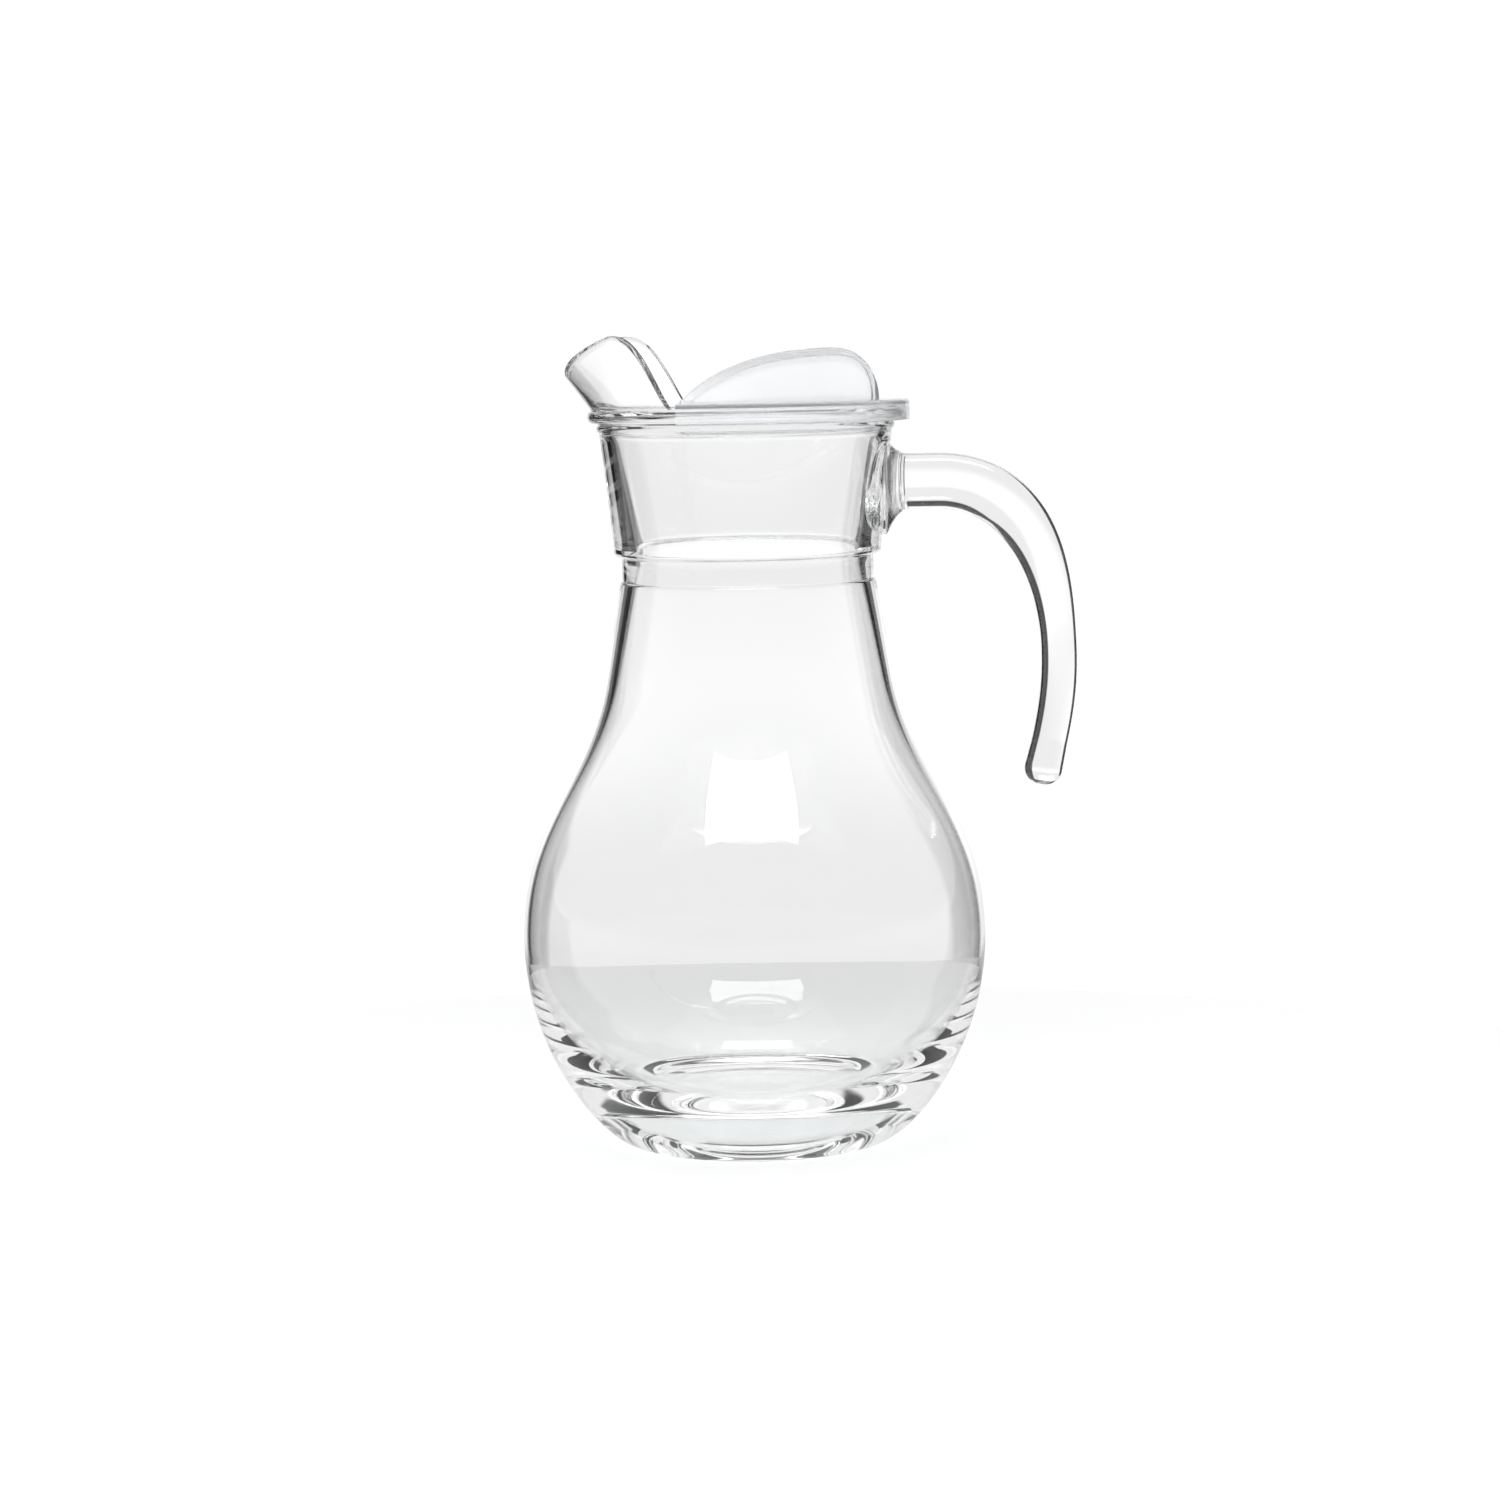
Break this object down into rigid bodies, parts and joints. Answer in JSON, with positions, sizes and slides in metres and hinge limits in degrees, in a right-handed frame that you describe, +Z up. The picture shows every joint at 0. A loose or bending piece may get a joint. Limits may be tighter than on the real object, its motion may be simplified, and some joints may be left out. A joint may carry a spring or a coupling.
{
  "type": "water jug",
  "caption": "Glass table jug with a round belly, a raised pouring spout, a glass handle fixed at its upper end and a press-on plastic lid with a grip.",
  "frame": {"origin": "centre of the flat foot, on the jug's axis, where it stands on the table", "axes": "+Z up along the jug's axis, -X towards the spout, +X towards the handle, +Y away from a viewer who sees the spout on the left and the handle on the right"},
  "size_m": [0.1711, 0.1424, 0.246],
  "materials": {
    "clear_glass": "blown, clear, fire-polished",
    "handle_glass": "pressed, clear, fire-polished",
    "lid_plastic": "translucent, milky, satin"
  },
  "bodies": {
    "jug": {"jug_body": "clear_glass", "handle": "handle_glass"},
    "lid": {"lid": "lid_plastic"}
  },
  "joints": [
    {"name": "lid_lift", "type": "slide", "parent": "jug", "child": "lid", "axis": [0, 0, 1], "range_m": [0, 0.06]}
  ]
}
